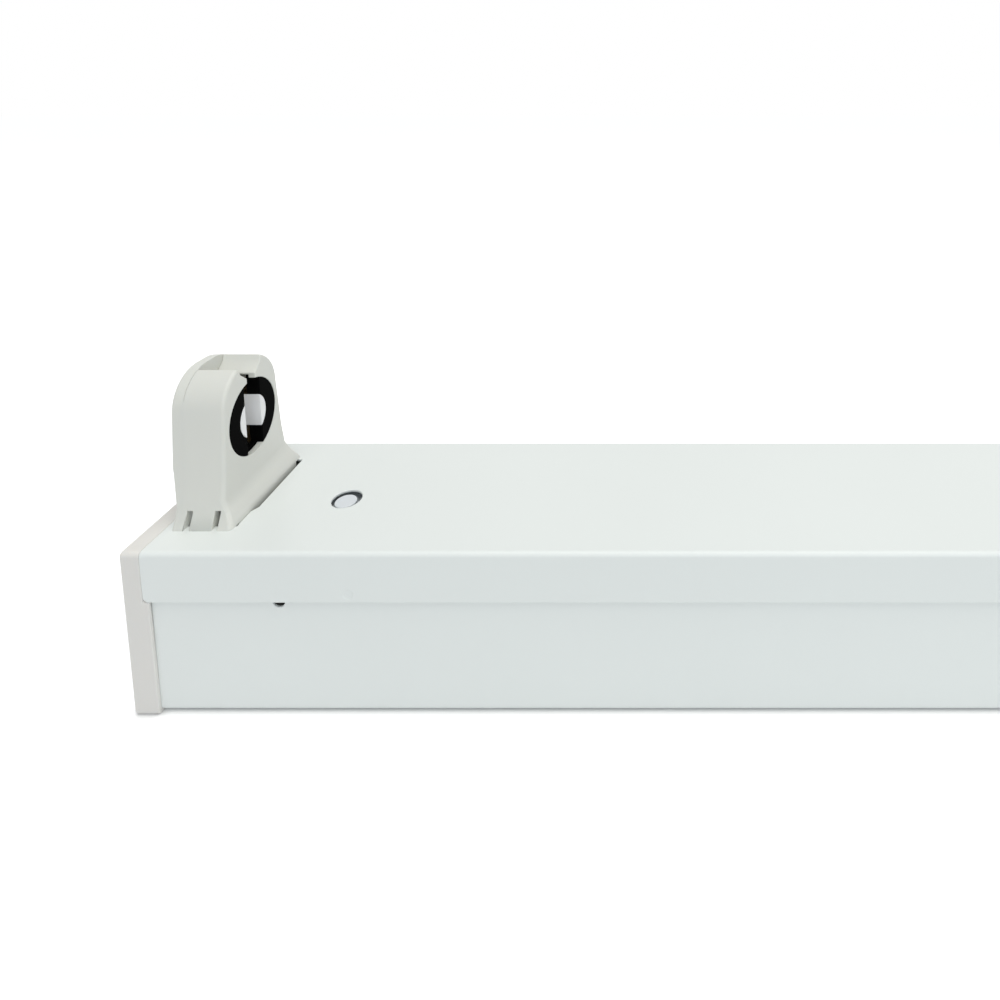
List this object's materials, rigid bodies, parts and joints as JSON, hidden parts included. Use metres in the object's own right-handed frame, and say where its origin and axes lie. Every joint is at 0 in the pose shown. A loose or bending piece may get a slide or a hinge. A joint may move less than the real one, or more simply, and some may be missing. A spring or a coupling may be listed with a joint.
{
  "type": "led tube batten fitting",
  "caption": "Slim folded steel batten fitting with clip-on cover tray, moulded end caps and rotary lampholders that hold a straight LED tube by its pins.",
  "frame": {"origin": "middle of the underside, on the plane that the lips of the end caps touch", "axes": "+X along the batten, -Y its front (the side the picture shows), +Z from the ceiling side towards the tube"},
  "size_m": [0.6234, 0.0414, 0.0689],
  "materials": {
    "steel_white": "smooth white powder coat, semi-gloss",
    "cap_white": "white moulded, fine satin",
    "holder_white": "white moulded, soft gloss",
    "rotor_black": "black moulded, soft gloss",
    "bridge_zinc": "pale coated steel",
    "zinc_steel": "bright zinc plated",
    "brass": "plain",
    "rubber_black": "matt",
    "moulded_white": "natural moulded",
    "pvc_brown": "flexible insulation",
    "pvc_blue": "flexible insulation",
    "pvc_green": "flexible insulation, green with a yellow stripe"
  },
  "bodies": {
    "batten": {"base_channel": "steel_white", "cover_tray": "steel_white", "cable_grommet": "rubber_black", "terminal_block": "moulded_white", "terminal_tubes": "brass", "terminal_clamp_screws": "zinc_steel", "terminal_fixing_screws": "zinc_steel", "earth_screw": "zinc_steel", "earth_washer": "zinc_steel", "earth_tag": "brass", "live_lead": "pvc_brown", "neutral_lead": "pvc_blue", "earth_lead": "pvc_green", "lead_clips": "moulded_white", "end_cap_left": "cap_white", "holder_housing_left": "holder_white", "holder_back_left": "holder_white", "cover_bridge_left": "bridge_zinc", "contact_front_left": "brass", "contact_rear_left": "brass", "end_cap_right": "cap_white", "holder_housing_right": "holder_white", "holder_back_right": "holder_white", "cover_bridge_right": "bridge_zinc", "contact_front_right": "brass", "contact_rear_right": "brass"},
    "rotor_left": {"rotor_ring_left": "rotor_black", "rotor_core_left": "holder_white"},
    "rotor_right": {"rotor_ring_right": "rotor_black", "rotor_core_right": "holder_white"}
  },
  "joints": [
    {"name": "rotor_left_turn", "type": "hinge", "parent": "batten", "child": "rotor_left", "pos_m": [-0.2954, 0, 0.05525], "axis": [1, 0, 0], "range_deg": [-90, 90]},
    {"name": "rotor_right_turn", "type": "hinge", "parent": "batten", "child": "rotor_right", "pos_m": [0.2954, 0, 0.05525], "axis": [1, 0, 0], "range_deg": [-90, 90]}
  ]
}
